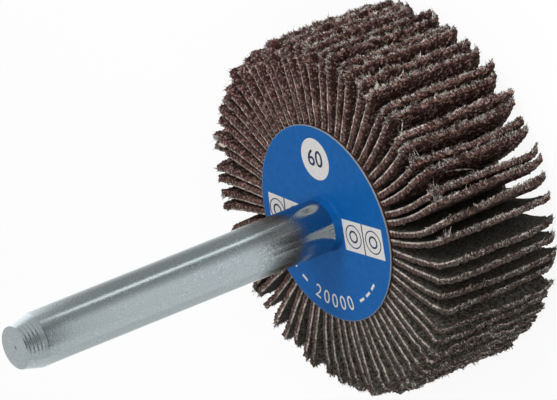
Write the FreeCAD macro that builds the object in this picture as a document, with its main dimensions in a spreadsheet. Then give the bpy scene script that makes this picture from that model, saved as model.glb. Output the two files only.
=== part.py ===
import FreeCAD, Part
import math
import os
import Sketcher

# A mounted flap wheel, standing on its back disc with the shank pointing up.
# The origin is the middle of the back disc's outer face, and the wheel's axis is Z.
# Angles run counter-clockwise round Z, seen from the shank's end.

# Driving sizes in millimetres and degrees. Each name is also a cell of the document's sheet.
SIZES = {
    "shank_diameter": 6.0,
    "shank_free_length": 41.3,
    "taper_length": 2.4,
    "taper_depth": 0.58,
    "pip_diameter": 0.7,
    "pip_height": 0.15,
    "seat_step": 0.3,
    "seat_cover": 2.5,
    "seat_groove_width": 1.2,
    "seat_groove_depth": 0.4,
    "seat_groove_pitch": 3.2,
    "seat_groove_count": 3,
    "seat_groove_lead": 1.6,
    "back_disc_thickness": 0.5,
    "back_cap_thickness": 0.4,
    "label_thickness": 0.25,
    "front_cap_thickness": 0.15,
    "disc_overhang": 0.2,
    "bead_height": 1.0,
    "bead_width": 0.2,
    "lock_ring_width": 0.9,
    "lock_ring_depth": 1.0,
    "flap_hook": 0.5,
    "wheel_diameter": 40.0,
    "pair_count": 34,
    "flap_width": 15.1,
    "flap_thickness": 0.8,
    "flap_root_gap": 0.087,
    "flap_root_bury": 0.3,
    "first_flap_angle": 3.55,
    "crowd_shift": 1.9,
    "crowd_angle": 190.0,
    "pair_pinch": 1.2,
    "root_tilt": -2.0,
    "flap_scatter": 1.2,
}

# How far the flap tips are dragged round, in degrees, at each fifteenth degree of the wheel.
DRAG_STEP = 15
DRAG = {
    "drag_000": 1.3,
    "drag_015": 1.0,
    "drag_030": 1.0,
    "drag_045": 0.8,
    "drag_060": 1.9,
    "drag_075": 0.8,
    "drag_090": 0.9,
    "drag_105": 0.6,
    "drag_120": 1.4,
    "drag_135": 2.2,
    "drag_150": 6.0,
    "drag_165": 3.3,
    "drag_180": 3.3,
    "drag_195": 3.7,
    "drag_210": 2.2,
    "drag_225": 2.1,
    "drag_240": 4.1,
    "drag_255": 6.7,
    "drag_270": 5.3,
    "drag_285": 3.4,
    "drag_300": 3.2,
    "drag_315": 2.9,
    "drag_330": 2.3,
    "drag_345": 1.7,
}

FLAPS_PER_NODE = 2
FLATS_PER_FLAP = 3
FLATS_PER_BEAD = 3
GOLDEN_STEP = 0.618


class Length:
    """A length that follows the sheet: its value now, and the rule that keeps it so."""

    def __init__(self, value, rule):
        self.value = value
        self.rule = rule

    def __add__(self, other):
        return Length(self.value + other.value, "({} + {})".format(self.rule, other.rule))

    def __sub__(self, other):
        return Length(self.value - other.value, "({} - {})".format(self.rule, other.rule))

    def times(self, factor):
        return Length(self.value * factor, "({} * {:.4f})".format(self.rule, factor))

    def half(self):
        return self.times(0.5)


def size(name):
    return Length(SIZES[name], "Sizes.{} * 1 mm".format(name))


def flap_count():
    return FLAPS_PER_NODE * int(SIZES["pair_count"])


def wall_radius():
    return size("shank_diameter").half()


def wheel_radius():
    return size("wheel_diameter").half()


def seat_radius():
    return wall_radius() - size("seat_step")


def barrel_radius():
    """The flap roots stand side by side round the barrel, so they settle how large it is."""
    room = SIZES["flap_thickness"] + SIZES["flap_root_gap"]
    rule = "(Sizes.flap_thickness + Sizes.flap_root_gap) * {} * Sizes.pair_count / (2 * pi) * 1 mm"
    return Length(room * flap_count() / (2 * math.pi), rule.format(FLAPS_PER_NODE))


def ring_radius():
    return barrel_radius() + size("flap_hook") + size("lock_ring_width")


def disc_radius():
    return ring_radius() + size("disc_overhang")


ZERO = Length(0.0, "0 mm")


def heights():
    """The levels of the stack, from the back disc's outer face up to the shank's end."""
    level = {"floor": ZERO}
    level["back_disc"] = size("back_disc_thickness")
    level["seat_floor"] = level["back_disc"] + size("seat_cover")
    level["flap_rear"] = level["back_disc"] + size("back_cap_thickness")
    level["flap_front"] = level["flap_rear"] + size("flap_width")
    level["label_seat"] = level["flap_front"] + size("front_cap_thickness")
    level["label_face"] = level["label_seat"] + size("label_thickness")
    level["bead_top"] = level["label_face"] + size("bead_height")
    level["shank_end"] = level["label_face"] + size("shank_free_length")
    level["taper_start"] = level["shank_end"] - size("taper_length")
    return level


def make_sheet(doc):
    sheet = doc.addObject("Spreadsheet::Sheet", "Sizes")
    for row, (name, value) in enumerate(list(SIZES.items()) + list(DRAG.items()), start=1):
        sheet.set("A{}".format(row), name)
        sheet.set("B{}".format(row), "{:g}".format(value))
        sheet.setAlias("B{}".format(row), name)
    doc.recompute()
    return sheet


def origin_plane(body, role):
    for feature in body.Origin.OriginFeatures:
        if feature.Role == role:
            return feature
    raise ValueError("no plane " + role)


def half_section(body, name, corners):
    """A closed half section on the XZ plane, from corners given as (radius, height)."""
    sketch = body.newObject("Sketcher::SketchObject", name)
    sketch.AttachmentSupport = (origin_plane(body, "XZ_Plane"), [""])
    sketch.MapMode = "FlatFace"
    draw_outline(sketch, corners)
    return sketch


def draw_outline(sketch, corners):
    """A closed outline of straight edges, with each corner held at its own place."""
    first = sketch.GeometryCount
    points = [FreeCAD.Vector(across.value, along.value, 0) for across, along in corners]
    for index, point in enumerate(points):
        following = points[(index + 1) % len(points)]
        sketch.addGeometry(Part.LineSegment(point, following), False)
    for index in range(len(points)):
        following = first + (index + 1) % len(points)
        sketch.addConstraint(Sketcher.Constraint("Coincident", first + index, 2, following, 1))
    for index, (across, along) in enumerate(corners):
        hold_corner(sketch, first + index, "DistanceX", -2, across)
        hold_corner(sketch, first + index, "DistanceY", -1, along)


def hold_corner(sketch, edge, direction, axis, place):
    """Hold the start of one edge at its distance from an axis, or on that axis."""
    if place.value == 0:
        sketch.addConstraint(Sketcher.Constraint("PointOnObject", edge, 1, axis))
        return
    held = sketch.addConstraint(Sketcher.Constraint(direction, -1, 1, edge, 1, place.value))
    sketch.setExpression("Constraints[{}]".format(held), place.rule)


def turn(body, name, sketch, kind="PartDesign::Revolution"):
    """Turn a half section once round the wheel's axis."""
    feature = body.newObject(kind, name)
    feature.Profile = sketch
    feature.ReferenceAxis = (sketch, ["V_Axis"])
    feature.Angle = 360
    return feature


def make_shank(doc, level):
    """The steel pin: a grooved seat for the resin, the plain shank, the taper and its pip."""
    body = doc.addObject("PartDesign::Body", "Shank")
    body.Label = "shank"
    wall = wall_radius()
    seat = seat_radius()
    end = wall - size("taper_depth")
    pip = size("pip_diameter").half()
    pip_top = level["shank_end"] + size("pip_height")
    corners = [
        (ZERO, level["seat_floor"]),
        (seat, level["seat_floor"]),
        (seat, level["bead_top"]),
        (wall, level["bead_top"]),
        (wall, level["taper_start"]),
        (end, level["shank_end"]),
        (pip, level["shank_end"]),
        (ZERO, pip_top),
    ]
    turn(body, "ShankTurned", half_section(body, "ShankSection", corners))

    bottom = level["seat_floor"] + size("seat_groove_lead")
    top = bottom + size("seat_groove_width")
    depth = seat - size("seat_groove_depth")
    ring = [(depth, bottom), (wall, bottom), (wall, top), (depth, top)]
    groove = turn(body, "SeatGroove", half_section(body, "GrooveSection", ring), "PartDesign::Groove")
    pattern = body.newObject("PartDesign::LinearPattern", "SeatGrooves")
    pattern.Originals = [groove]
    pattern.Direction = (origin_plane(body, "Z_Axis"), [""])
    pattern.setExpression("Occurrences", "Sizes.seat_groove_count")
    pattern.setExpression("Length", "Sizes.seat_groove_pitch * (Sizes.seat_groove_count - 1) * 1 mm")
    body.Tip = pattern
    return body


def make_resin_core(doc, level, shank):
    """The cast core: a barrel between two caps, each with a ring that locks the flap roots."""
    body = doc.addObject("PartDesign::Body", "ResinBlank")
    barrel = barrel_radius()
    inner = barrel + size("flap_hook")
    outer = ring_radius()
    lower_ring = level["flap_rear"] + size("lock_ring_depth")
    upper_ring = level["flap_front"] - size("lock_ring_depth")
    corners = [
        (ZERO, level["back_disc"]),
        (outer, level["back_disc"]),
        (outer, lower_ring),
        (inner, lower_ring),
        (inner, level["flap_rear"]),
        (barrel, level["flap_rear"]),
        (barrel, level["flap_front"]),
        (inner, level["flap_front"]),
        (inner, upper_ring),
        (outer, upper_ring),
        (outer, level["label_seat"]),
        (ZERO, level["label_seat"]),
    ]
    turn(body, "ResinTurned", half_section(body, "ResinSection", corners))
    core = doc.addObject("Part::Cut", "ResinCore")
    core.Label = "resin_core"
    core.Base = body
    core.Tool = shank
    return core


def make_label_disc(doc, level):
    """The printed card disc, with a hole that fits the shank's seat."""
    body = doc.addObject("PartDesign::Body", "LabelDisc")
    body.Label = "label_disc"
    corners = [
        (seat_radius(), level["label_seat"]),
        (disc_radius(), level["label_seat"]),
        (disc_radius(), level["label_face"]),
        (seat_radius(), level["label_face"]),
    ]
    turn(body, "LabelTurned", half_section(body, "LabelSection", corners))
    return body


def make_resin_bead(doc, level):
    """The resin drawn up round the shank to its shoulder, hollow in section, which seals the label disc."""
    body = doc.addObject("PartDesign::Body", "ResinBead")
    body.Label = "resin_bead"
    wall = wall_radius()
    corners = [(seat_radius(), level["bead_top"]), (seat_radius(), level["label_face"])]
    for flat in range(FLATS_PER_BEAD, -1, -1):
        turned = math.radians(90.0 * flat / FLATS_PER_BEAD)
        across = wall + size("bead_width").times(1 - math.cos(turned))
        above = level["label_face"] + size("bead_height").times(1 - math.sin(turned))
        corners.append((across, above))
    turn(body, "BeadTurned", half_section(body, "BeadSection", corners))
    return body


def make_back_disc(doc):
    """The plain card disc that closes the back of the core."""
    disc = doc.addObject("Part::Cylinder", "BackDisc")
    disc.Label = "back_disc"
    disc.setExpression("Radius", disc_radius().rule)
    disc.setExpression("Height", size("back_disc_thickness").rule)
    return disc


def drag_rule(angle):
    """The drag of the tips at this angle, between the two stations on either side of it."""
    station = int(angle // DRAG_STEP) * DRAG_STEP
    share = (angle - station) / DRAG_STEP
    before = "Sizes.drag_{:03d}".format(station % 360)
    after = "Sizes.drag_{:03d}".format((station + DRAG_STEP) % 360)
    return "({} * {:.4f} + {} * {:.4f})".format(before, 1 - share, after, share)


def name_flap_values(sketch, index):
    """Give the pair's sketch the values of one flap: its setting, its heading and its bend."""
    own = "Flap{}".format(index % FLAPS_PER_NODE + 1)
    for part in ("Even", "Setting", "Heading", "Drag", "Turn"):
        sketch.addProperty("App::PropertyAngle", own + part, "Flap")
    for part in ("Bend", "CentreX", "CentreY"):
        sketch.addProperty("App::PropertyDistance", own + part, "Flap")
    scatter = "(mod({:d} * {:g}; 1) - 0.5) * Sizes.flap_scatter".format(index, GOLDEN_STEP)
    pinch = "Sizes.pair_pinch" if index % FLAPS_PER_NODE == 0 else "-Sizes.pair_pinch"
    even = "(Sizes.first_flap_angle + {:g} * 360 / Sizes.pair_count) * 1 deg".format(index / FLAPS_PER_NODE)
    angle = SIZES["first_flap_angle"] + index * 360.0 / flap_count()
    root = (barrel_radius() - size("flap_root_bury")).rule
    rules = [
        ("Even", even),
        # The flaps crowd away from one side of the wheel, so their settings aren't quite even.
        ("Setting", "{own}Even - Sizes.crowd_shift * cos({own}Even - Sizes.crowd_angle * 1 deg) * 1 deg"),
        ("Heading", "{own}Setting + (Sizes.root_tilt + " + pinch + " + " + scatter + ") * 1 deg"),
        ("Drag", drag_rule(angle) + " * 1 deg"),
        # A tip dragged round by an angle moves along the rim, and a bend of this radius takes it there.
        ("Bend", "Reach * Reach / (Sizes.wheel_diameter * 1 mm * tan({own}Drag))"),
        ("Turn", "Reach / {own}Bend * 180 / pi * 1 deg"),
        ("CentreX", root + " * cos({own}Setting) - {own}Bend * sin({own}Heading)"),
        ("CentreY", root + " * sin({own}Setting) + {own}Bend * cos({own}Heading)"),
    ]
    for part, rule in rules:
        sketch.setExpression(own + part, rule.replace("{own}", own))
    return own


def draw_flap(sketch, own):
    """The flap's edge as seen along the axis: one thickness of cloth, bent in a few flats."""
    steps = range(FLATS_PER_FLAP + 1)
    sides = [(step, "-") for step in steps] + [(step, "+") for step in reversed(steps)]
    bend = getattr(sketch, own + "Bend").Value
    heading = math.radians(getattr(sketch, own + "Heading").Value)
    turned = math.radians(getattr(sketch, own + "Turn").Value)
    centre_x = getattr(sketch, own + "CentreX").Value
    centre_y = getattr(sketch, own + "CentreY").Value
    corners = []
    for step, side in sides:
        share = step / FLATS_PER_FLAP
        reach = bend + (SIZES["flap_thickness"] / 2 if side == "+" else -SIZES["flap_thickness"] / 2)
        angle = heading + turned * share
        reach_rule = "({own}Bend {side} Sizes.flap_thickness / 2 * 1 mm)".format(own=own, side=side)
        angle_rule = "({own}Heading + {own}Turn * {share:.4f})".format(own=own, share=share)
        x_rule = "{}CentreX + {} * sin{}".format(own, reach_rule, angle_rule)
        y_rule = "{}CentreY - {} * cos{}".format(own, reach_rule, angle_rule)
        corners.append(
            (
                Length(centre_x + reach * math.sin(angle), x_rule),
                Length(centre_y - reach * math.cos(angle), y_rule),
            )
        )
    draw_outline(sketch, corners)


def make_flap_pair(doc, pair, level, core):
    """Two neighbouring flaps, cut to the core's barrel and notched round its lock rings."""
    name = "{:02d}".format(pair + 1)
    sketch = doc.addObject("Sketcher::SketchObject", "FlapEdges" + name)
    sketch.addProperty("App::PropertyDistance", "Reach", "Flap")
    sketch.setExpression("Reach", (wheel_radius() - barrel_radius() + size("flap_root_bury")).rule)
    sketch.setExpression("Placement.Base.z", level["flap_rear"].rule)
    own_names = [name_flap_values(sketch, pair * FLAPS_PER_NODE + one) for one in range(FLAPS_PER_NODE)]
    sketch.recompute()
    for own in own_names:
        draw_flap(sketch, own)
    blanks = doc.addObject("Part::Extrusion", "FlapBlanks" + name)
    blanks.Base = sketch
    blanks.DirMode = "Normal"
    blanks.Solid = True
    blanks.setExpression("LengthFwd", size("flap_width").rule)
    flaps = doc.addObject("Part::Cut", "FlapPair" + name)
    flaps.Label = "flap_pair_" + name
    flaps.Base = blanks
    flaps.Tool = core
    return flaps


def check_and_write(doc, nodes):
    for item in doc.Objects:
        if "Invalid" in item.State or "Error" in item.State:
            raise RuntimeError("{} failed: {}".format(item.Name, item.State))
    for node in nodes:
        if node.Shape.isNull() or not node.Shape.isValid() or not node.Shape.Solids:
            raise RuntimeError("{} has no sound shape".format(node.Label))
    os.makedirs("parts", exist_ok=True)
    for node in nodes:
        node.Shape.exportStep("parts/{}.step".format(node.Label))
        print(node.Label, len(node.Shape.Solids), "solids, {:.2f} mm3".format(node.Shape.Volume))


def main():
    doc = FreeCAD.newDocument("FlapWheel")
    make_sheet(doc)
    level = heights()
    shank = make_shank(doc, level)
    core = make_resin_core(doc, level, shank)
    nodes = [shank, core, make_label_disc(doc, level), make_resin_bead(doc, level), make_back_disc(doc)]
    doc.recompute()
    for pair in range(int(SIZES["pair_count"])):
        nodes.append(make_flap_pair(doc, pair, level, core))
    doc.recompute()
    check_and_write(doc, nodes)


main()
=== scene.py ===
import math

import bpy
import numpy as np
from mathutils import Matrix, Vector


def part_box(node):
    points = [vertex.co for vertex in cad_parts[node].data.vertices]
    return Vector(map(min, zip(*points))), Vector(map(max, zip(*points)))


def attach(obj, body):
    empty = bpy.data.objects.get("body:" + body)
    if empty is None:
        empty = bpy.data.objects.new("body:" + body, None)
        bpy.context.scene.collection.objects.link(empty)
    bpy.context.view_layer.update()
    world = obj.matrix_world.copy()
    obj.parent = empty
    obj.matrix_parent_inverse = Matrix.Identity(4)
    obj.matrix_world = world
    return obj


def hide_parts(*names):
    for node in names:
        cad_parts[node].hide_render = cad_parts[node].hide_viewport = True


bl_info = {
    "name": "Flap wheel finish",
    "version": (1, 0, 0),
    "blender": (4, 5, 0),
    "location": "3D View > Sidebar > Flap Wheel",
    "description": "Dresses the packed flap wheel: frayed abrasive cloth, printed card and a plated shank",
    "category": "Object",
}

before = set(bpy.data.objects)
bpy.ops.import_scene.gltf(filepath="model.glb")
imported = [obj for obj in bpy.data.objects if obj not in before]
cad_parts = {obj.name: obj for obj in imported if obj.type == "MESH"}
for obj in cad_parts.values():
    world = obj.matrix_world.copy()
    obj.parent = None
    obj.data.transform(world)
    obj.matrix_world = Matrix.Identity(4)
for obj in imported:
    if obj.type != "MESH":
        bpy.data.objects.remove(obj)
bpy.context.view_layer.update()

# All lengths in this file are metres, and all angles are degrees unless a name says otherwise.
MM = 0.001
PAIRS = 34
FLAPS_PER_PAIR = 2
FLAPS = PAIRS * FLAPS_PER_PAIR
GOLDEN_STEP = 0.618
SEED = 60

# Where the wheel wore roundest, where it wore least and where it is dusty with painted shade in its pores, in
# degrees round it.
WORN_SIDE = 250.0
HIGH_SIDE = 315.0
DUST_AND_SHADE_SIDE = 190.0

# How far the flap tips are dragged round, in degrees, at each fifteenth degree of the wheel.
DRAG_STEP = 15.0
DRAG = (1.3, 1.0, 1.0, 0.8, 1.9, 0.8, 0.9, 0.6, 1.4, 2.2, 6.0, 3.3)
DRAG += (3.3, 3.7, 2.2, 2.1, 4.1, 6.7, 5.3, 3.4, 3.2, 2.9, 2.3, 1.7)


def srgb(red, green, blue):
    """A colour written as it looks on the screen, from 0 to 255, as the linear values a shader takes."""
    shares = [part / 255 for part in (red, green, blue)]
    return tuple(s / 12.92 if s <= 0.04045 else ((s + 0.055) / 1.055) ** 2.4 for s in shares)


def length_prop(name, description, millimetres):
    return bpy.props.FloatProperty(
        name=name, description=description, default=millimetres * MM, unit="LENGTH", precision=5
    )


def angle_prop(name, description, degrees):
    return bpy.props.FloatProperty(
        name=name, description=description, default=math.radians(degrees), unit="ROTATION"
    )


def colour_prop(name, description, *shown):
    return bpy.props.FloatVectorProperty(
        name=name, description=description, default=srgb(*shown), subtype="COLOR", min=0, max=1
    )


class FlapWheelSizes(bpy.types.PropertyGroup):
    """Sizes of the cloth flaps, the shank and the print on the label."""

    wheel_diameter: length_prop("Wheel diameter", "Across the tips of the flaps", 40)
    flap_thickness: length_prop("Flap thickness", "Cloth, bond and grain together", 0.8)
    root_gap: length_prop("Root gap", "Room between two flap roots on the barrel", 0.087)
    root_bury: length_prop("Root bury", "How deep the roots sit in the core", 0.3)
    first_flap_angle: angle_prop("First flap angle", "Where the first flap stands if all are even", 3.55)
    crowd_shift: angle_prop("Crowd shift", "How far the flaps crowd away from one side", 1.9)
    crowd_angle: angle_prop("Crowd angle", "The side that the flaps crowd away from", 190)
    pair_pinch: angle_prop("Pair pinch", "How far two flaps of a pair lean together", 1.2)
    root_tilt: angle_prop("Root tilt", "How far every root leans back", -2.0)
    flap_scatter: angle_prop("Flap scatter", "Unevenness of the lean from flap to flap", 1.2)
    corner_radius: length_prop("Corner radius", "Worn corner between a flap's side and its tip", 0.5)
    corner_wear: length_prop("Corner wear", "How much rounder the most worn corners are", 1.3)
    rear_corner: length_prop("Rear corner", "Corner between a flap's rear side and its tip", 0.35)
    grain_worn: length_prop("Grain worn", "How much thinner the worn cloth is than new cloth", 0.16)
    edge_step: length_prop("Edge step", "Distance between points along a cut edge", 0.125)
    grain_lift: length_prop("Grain lift", "How far grains stand out of their bond", 0.09)
    edge_ragged: length_prop("Ragged edge", "How far a worn edge wanders", 0.1)
    edge_rough: length_prop("Rough edge", "How far single grains stand out of a worn edge", 0.08)
    tuft_lift: length_prop("Tuft lift", "How far torn cloth stands out of its edge", 0.2)
    high_side: length_prop("High side", "How much further the flaps reach on the less worn side", 0.35)
    tip_scatter: length_prop("Tip scatter", "Unevenness of the flaps' reach", 0.2)
    sway: length_prop("Sway", "How far a flap waves along its tip", 0.15)
    horn_lift: length_prop("Horn lift", "How far the torn rear corners stand off", 0.6)
    fibre_length: length_prop("Fibre length", "Length of a common loose fibre end", 0.2)
    fibre_radius: length_prop("Fibre radius", "Half the thickness of a fibre at its foot", 0.06)
    fibre_count: bpy.props.IntProperty(
        name="Fibres per flap", description="Loose fibre ends on one flap", default=850, min=0
    )
    turned_ring_pitch: length_prop("Turned ring pitch", "Between the tool marks on the taper", 0.42)
    turned_ring_depth: length_prop("Turned ring depth", "Depth of the tool marks on the taper", 0.0055)
    print_height: length_prop("Print height", "How far the print stands proud of the card", 0.012)


class FlapWheelColours(bpy.types.PropertyGroup):
    """Colours of the cloth, the card, the steel and the stage."""

    grain_dark: colour_prop("Dark grain", "The darkest grains and the bond between them", 26, 16, 14)
    grain_main: colour_prop("Grain", "Most of the grains", 80, 51, 47)
    grain_light: colour_prop("Light grain", "Freshly broken grains", 152, 126, 119)
    bond: colour_prop("Bond", "The layer between the cloth and the grains", 74, 55, 50)
    cloth_face: colour_prop("Cloth face", "The sized back of the cloth", 66, 64, 61)
    cloth_cut: colour_prop("Cut cloth", "The pale cut through the cloth", 196, 184, 175)
    fibre: colour_prop("Fibre", "Loose ends of yarn", 184, 180, 174)
    dust: colour_prop("Dust", "Grinding dust on one side of the wheel", 72, 69, 63)
    steel: colour_prop("Steel", "Zinc plated steel", 172, 182, 185)
    label_blue: colour_prop("Label blue", "The printed card", 12, 89, 158)
    label_white: colour_prop("Label white", "Bare white print", 212, 210, 208)
    label_ink: colour_prop("Label ink", "Dark print on white", 38, 46, 72)
    card_edge: colour_prop("Card edge", "The cut edge of the printed card", 122, 130, 136)
    back_card: colour_prop("Back card", "Plain fibre card", 150, 138, 120)
    resin: colour_prop("Resin", "The cast core", 62, 44, 38)
    floor: colour_prop("Floor", "The floor of the stage", 247, 247, 247)


def settings(context):
    """The sizes and colours that the sidebar sets."""
    return context.scene.flap_wheel_sizes, context.scene.flap_wheel_colours


def add_node(tree, kind, inputs=None, **options):
    """A new node with its options, whose inputs are given as values or as the sockets that feed them."""
    made = tree.nodes.new(kind)
    for name, value in options.items():
        setattr(made, name, value)
    for name, value in (inputs or {}).items():
        if isinstance(value, bpy.types.NodeSocket):
            tree.links.new(value, made.inputs[name])
        else:
            made.inputs[name].default_value = value
    return made


def calc(tree, operation, first, second=0.0, third=0.0):
    """The result of one sum on two or three values."""
    inputs = {0: first, 1: second, 2: third}
    return add_node(tree, "ShaderNodeMath", inputs, operation=operation).outputs[0]


def times(tree, *values):
    """The product of some values."""
    product = values[0]
    for value in values[1:]:
        product = calc(tree, "MULTIPLY", product, value)
    return product


def scaled(tree, value, factor, offset):
    """A value times a factor, with an offset added."""
    return calc(tree, "MULTIPLY_ADD", value, factor, offset)


def dot_product(tree, first, second):
    """How far one vector reaches along another."""
    inputs = {0: first, 1: second}
    return add_node(tree, "ShaderNodeVectorMath", inputs, operation="DOT_PRODUCT").outputs["Value"]


def shade(colour, level):
    """A colour made darker or lighter."""
    return [level * part for part in colour]


def blend_colours(tree, share, first, second):
    """From the first colour at share 0 to the second at share 1."""
    first, second = [c if isinstance(c, bpy.types.NodeSocket) else (*c, 1.0) for c in (first, second)]
    return add_node(tree, "ShaderNodeMix", {0: share, 6: first, 7: second}, data_type="RGBA").outputs[2]


def ramp(tree, value, stops):
    """A colour ramp with its stops given as (position, colour)."""
    made = add_node(tree, "ShaderNodeValToRGB", {0: value})
    elements = made.color_ramp.elements
    elements.remove(elements[0])
    elements[0].position, elements[0].color = stops[0][0], (*stops[0][1], 1.0)
    for position, colour in stops[1:]:
        elements.new(position).color = (*colour, 1.0)
    return made.outputs[0]


def spread(tree, value, low, high):
    """Stretch the part of a value between low and high to the whole range from 0 to 1."""
    inputs = {0: value, 1: low, 2: high, 3: 0.0, 4: 1.0}
    return add_node(tree, "ShaderNodeMapRange", inputs, clamp=True).outputs[0]


def blend_by(tree, value, low, high, first, second):
    """From the first colour where a value is at its low to the second where it is at its high."""
    return blend_colours(tree, spread(tree, value, low, high), first, second)


def noise(tree, vector, size, detail, roughness):
    """Smooth noise with features of about the given size."""
    inputs = {"Vector": vector, "Scale": MM / size, "Detail": detail, "Roughness": roughness}
    return add_node(tree, "ShaderNodeTexNoise", inputs).outputs["Fac"]


def bump(tree, height, distance, strength, under=None):
    inputs = {"Height": height, "Distance": distance, "Strength": strength}
    if under is not None:
        inputs["Normal"] = under
    return add_node(tree, "ShaderNodeBump", inputs).outputs["Normal"]


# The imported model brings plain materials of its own, so the names here start with a word of their own.
FINISH = "finish_"


def new_material(name, **sockets):
    """A material of one principled shader, with plain values set on its own sockets."""
    material = bpy.data.materials.new(FINISH + name)
    material.use_nodes = True
    shader = material.node_tree.nodes["Principled BSDF"]
    for socket, value in sockets.items():
        shader.inputs[socket.replace("_", " ")].default_value = value
    return material, material.node_tree, shader


def feed(tree, shader, **sockets):
    """Let the results of other nodes set the shader's own sockets."""
    for socket, value in sockets.items():
        tree.links.new(value, shader.inputs[socket.replace("_", " ")])


def object_point(tree):
    """The place on the object in millimetres, because a texture's own scale stops at a thousand."""
    point = add_node(tree, "ShaderNodeTexCoord").outputs["Object"]
    return add_node(tree, "ShaderNodeVectorMath", {0: point, "Scale": 1 / MM}, operation="SCALE").outputs[0]


GRAIN_CELL = 0.24 * MM
WEAVE_PITCH = 0.42 * MM


def make_abrasive_cloth(colours, tip):
    """Coated cloth: coarse red-brown grain on one side, a sized weave on the other, pale where it is cut.

    place_on_cloth holds each point's reach, height and lift before it was bent, and cut_edge is 1 on the cut.
    """
    material, tree, shader = new_material("abrasive_cloth", Specular_IOR_Level=0.2)
    point = object_point(tree)
    place = add_node(tree, "ShaderNodeAttribute", attribute_name="place_on_cloth").outputs["Vector"]
    cut = add_node(tree, "ShaderNodeAttribute", attribute_name="cut_edge").outputs["Fac"]
    reach, height, lift = add_node(tree, "ShaderNodeSeparateXYZ", {0: place}).outputs
    worn = spread(tree, reach, tip - 3.5 * MM, tip - 0.3 * MM)

    cells = add_node(tree, "ShaderNodeTexVoronoi", {"Vector": point, "Scale": MM / GRAIN_CELL})
    chance = add_node(tree, "ShaderNodeSeparateColor", {0: cells.outputs["Color"]})
    patches = noise(tree, point, 1.6 * MM, 3.0, 0.6)
    threads = noise(tree, point, 0.32 * MM, 3.0, 0.7)
    tint = calc(tree, "ADD", chance.outputs[0], scaled(tree, patches, 0.6, -0.3))
    tints = (0.0, colours.grain_dark), (0.45, shade(colours.grain_main, 0.4)), (0.7, colours.grain_main)
    grain = ramp(tree, tint, [*tints, (0.92, colours.grain_light)])
    # Towards each grain's border the colour goes to the dark bond, with painted shade in the gaps between
    # grains
    bond_and_gap_shade = spread(tree, cells.outputs["Distance"], 0.75, 0.35)
    grain = blend_colours(tree, scaled(tree, bond_and_gap_shade, 0.6, 0.4), colours.grain_dark, grain)

    # A cut through the grains shows streaks across the thickness of the cloth
    drawn_out = add_node(
        tree, "ShaderNodeVectorMath", {0: place, 1: (1 / MM, 1 / MM, 0.4 / MM)}, operation="MULTIPLY"
    ).outputs[0]
    streaks = noise(tree, drawn_out, 0.19 * MM, 2.0, 0.65)
    streaks = calc(tree, "ADD", streaks, scaled(tree, patches, 0.3, -0.15))
    tints = (0.41, colours.grain_dark), (0.51, colours.grain_main), (0.63, shade(colours.grain_light, 0.7))
    broken = ramp(tree, streaks, [*tints, (0.7, colours.grain_light)])
    grain = blend_colours(tree, times(tree, cut, 0.9), grain, broken)

    turns = 2 * math.pi / WEAVE_PITCH
    warp = calc(tree, "SINE", times(tree, reach, turns))
    weft = calc(tree, "SINE", times(tree, height, turns))
    weave = times(tree, warp, weft)
    face = blend_by(tree, weave, -1.0, 1.0, shade(colours.cloth_face, 0.7), colours.cloth_face)
    face = blend_by(tree, threads, 0.5, 0.68, face, shade(colours.cloth_face, 2.6))
    # Painted shade: the weave's pores are darkened to a quarter of the face colour
    face = blend_by(tree, threads, 0.48, 0.36, face, shade(colours.cloth_face, 0.25))
    uneven = scaled(tree, patches, 0.5, times(tree, threads, 0.5))
    pale = blend_by(tree, uneven, 0.42, 0.57, shade(colours.cloth_cut, 0.22), colours.cloth_cut)
    # Where the edge is worn, its cloth is matted with broken grain
    matted = times(tree, worn, spread(tree, streaks, 0.56, 0.46))
    pale = blend_colours(tree, matted, pale, broken)
    cloth = blend_by(tree, cut, 0.55, 0.95, face, pale)

    ragged = scaled(tree, threads, 0.5 * MM, -0.25 * MM)
    layer = calc(tree, "ADD", lift, ragged)
    bonded = blend_colours(tree, scaled(tree, worn, -0.2, 0.4), grain, colours.bond)
    inner = blend_by(tree, layer, -0.03 * MM, 0.1 * MM, grain, bonded)
    cloth_share = spread(tree, layer, 0.21 * MM, 0.26 * MM)
    colour = blend_colours(tree, cloth_share, inner, cloth)
    # Dust lies thickest between the roots, where nothing wipes it off
    deep = spread(tree, reach, tip - 2.0 * MM, 2.0 * MM)
    uncut = calc(tree, "SUBTRACT", 1.0, spread(tree, cut, 0.1, 0.6))
    settled = times(tree, deep, uncut, spread(tree, threads, 0.42, 0.85))
    colour = blend_colours(tree, settled, colour, shade(colours.dust, 1.6))
    # The share of the dusty side, whose pores hold painted shade, grows across the wheel, in millimetres from
    # its middle
    side = (math.cos(math.radians(DUST_AND_SHADE_SIDE)), math.sin(math.radians(DUST_AND_SHADE_SIDE)), 0.0)
    darkened_share = spread(tree, dot_product(tree, point, side), 3.0, 13.0)
    darkened_share = times(tree, darkened_share, scaled(tree, patches, 1.2, 0.15))
    # Dust greys this side, and painted shade darkens its pores to a fifth of the dust colour
    dust_and_pore_shade = blend_by(tree, threads, 0.4, 0.62, shade(colours.dust, 0.2), shade(colours.dust, 1.25))
    line = times(tree, cloth_share, spread(tree, cut, 0.4, 0.9), 0.62)
    dust_and_pore_shade = blend_colours(tree, line, dust_and_pore_shade, pale)
    colour = blend_colours(tree, darkened_share, colour, dust_and_pore_shade)
    rough = scaled(tree, chance.outputs[1], 0.3, 0.55)
    rough = calc(tree, "MAXIMUM", rough, times(tree, cloth_share, 0.9))
    lumps = bump(tree, calc(tree, "SUBTRACT", 1.0, cells.outputs["Distance"]), 0.12 * MM, 0.6)
    feed(tree, shader, Base_Color=colour, Roughness=rough, Normal=bump(tree, streaks, 0.12 * MM, 0.8, lumps))
    return material


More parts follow.
